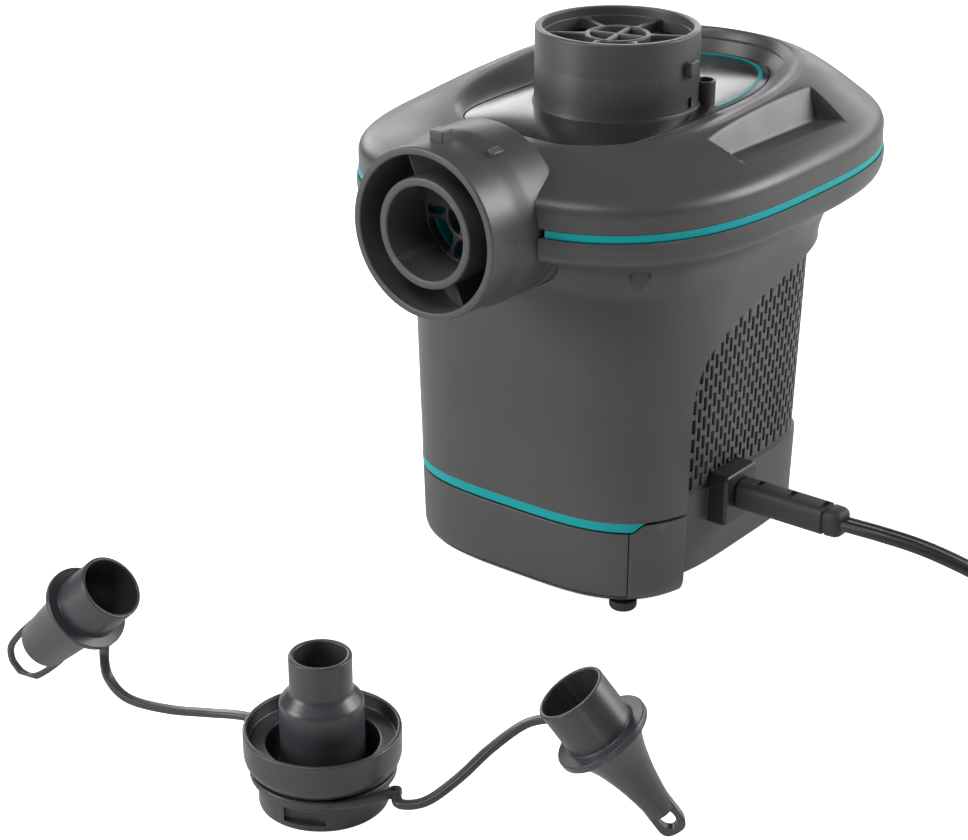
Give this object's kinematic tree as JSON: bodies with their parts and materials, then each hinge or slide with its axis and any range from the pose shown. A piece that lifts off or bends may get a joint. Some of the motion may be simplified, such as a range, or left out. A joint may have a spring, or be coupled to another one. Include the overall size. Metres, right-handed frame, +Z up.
{
  "type": "electric air mattress pump",
  "caption": "Mains electric air pump with inlet port on top, outlet port in front, coloured trims, power cord and a tethered set of push-on nozzles.",
  "frame": {"origin": "on the floor under the top port's axis", "axes": "+Z up, -Y out of the front port, +X towards the side with the cord and the grip recess"},
  "size_m": [0.2899, 0.2808, 0.1426],
  "materials": {
    "body_plastic": "fine satin grain",
    "dark_plastic": "satin",
    "teal_plastic": "satin",
    "black_rubber": "matte",
    "black_plastic": "satin",
    "nozzle_plastic": "soft gloss",
    "steel": "machined",
    "copper": "enamelled wire",
    "carbon": "dull",
    "mains_cable": "matte"
  },
  "bodies": {
    "housing": {"top_cover": "body_plastic", "deck_plate": "body_plastic", "deck_trim": "teal_plastic", "inlet_port": "body_plastic", "outlet_port": "body_plastic", "outlet_liner": "teal_plastic", "upper_trim": "teal_plastic", "main_housing": "body_plastic", "rear_cover": "dark_plastic", "lower_trim": "teal_plastic", "base_cover": "body_plastic", "badge_panel": "dark_plastic", "feet": "black_rubber", "head_screws": "steel", "base_screws": "steel", "volute_case": "dark_plastic", "volute_lid": "dark_plastic", "lid_screws": "steel", "port_seal": "black_rubber", "stator_core": "steel", "field_coils": "copper", "upper_bearing": "steel", "lower_bearing": "steel", "upper_bracket": "dark_plastic", "lower_bracket": "dark_plastic", "bracket_screws": "steel", "brush_holders": "dark_plastic", "brushes": "carbon", "brush_springs": "steel", "motor_mounts": "black_rubber", "thermal_fuse": "steel", "wiring": "mains_cable", "switch_frame": "black_plastic", "cord_anchor": "dark_plastic", "cord_boot": "black_rubber", "power_cord": "mains_cable", "plug_body": "black_plastic", "plug_pins": "steel"},
    "rotor": {"impeller": "teal_plastic", "impeller_nut": "steel", "motor_shaft": "steel", "armature_core": "steel", "armature_winding": "copper", "commutator": "copper"},
    "rocker": {"switch_rocker": "dark_plastic"},
    "adapter": {"adapter_hub": "nozzle_plastic", "adapter_tube": "nozzle_plastic"},
    "band": {"tether_band": "nozzle_plastic"},
    "left_strand": {"left_tether": "nozzle_plastic", "left_nozzle": "nozzle_plastic"},
    "right_strand": {"right_tether": "nozzle_plastic", "right_nozzle": "nozzle_plastic"}
  },
  "joints": [
    {"name": "rotor_spin", "type": "hinge", "parent": "housing", "child": "rotor", "pos_m": [0, 0, 0.05], "axis": [0, 0, 1], "continuous": true},
    {"name": "rocker_tilt", "type": "hinge", "parent": "housing", "child": "rocker", "pos_m": [0, 0.0437, 0.062], "axis": [1, 0, 0], "range_deg": [-18, 0]},
    {"name": "adapter_lift", "type": "slide", "parent": "housing", "child": "adapter", "axis": [0, 0, 1], "range_m": [0, 0.06]},
    {"name": "band_turn", "type": "hinge", "parent": "adapter", "child": "band", "pos_m": [0.0273, -0.1476, 0.0078], "axis": [0, 0, 1], "range_deg": [-40, 40]},
    {"name": "left_flex", "type": "hinge", "parent": "band", "child": "left_strand", "pos_m": [0.0084, -0.1405, 0.0078], "axis": [0, 0, 1], "range_deg": [-20, 20]},
    {"name": "right_flex", "type": "hinge", "parent": "band", "child": "right_strand", "pos_m": [0.0466, -0.1458, 0.0078], "axis": [0, 0, 1], "range_deg": [-20, 20]}
  ]
}
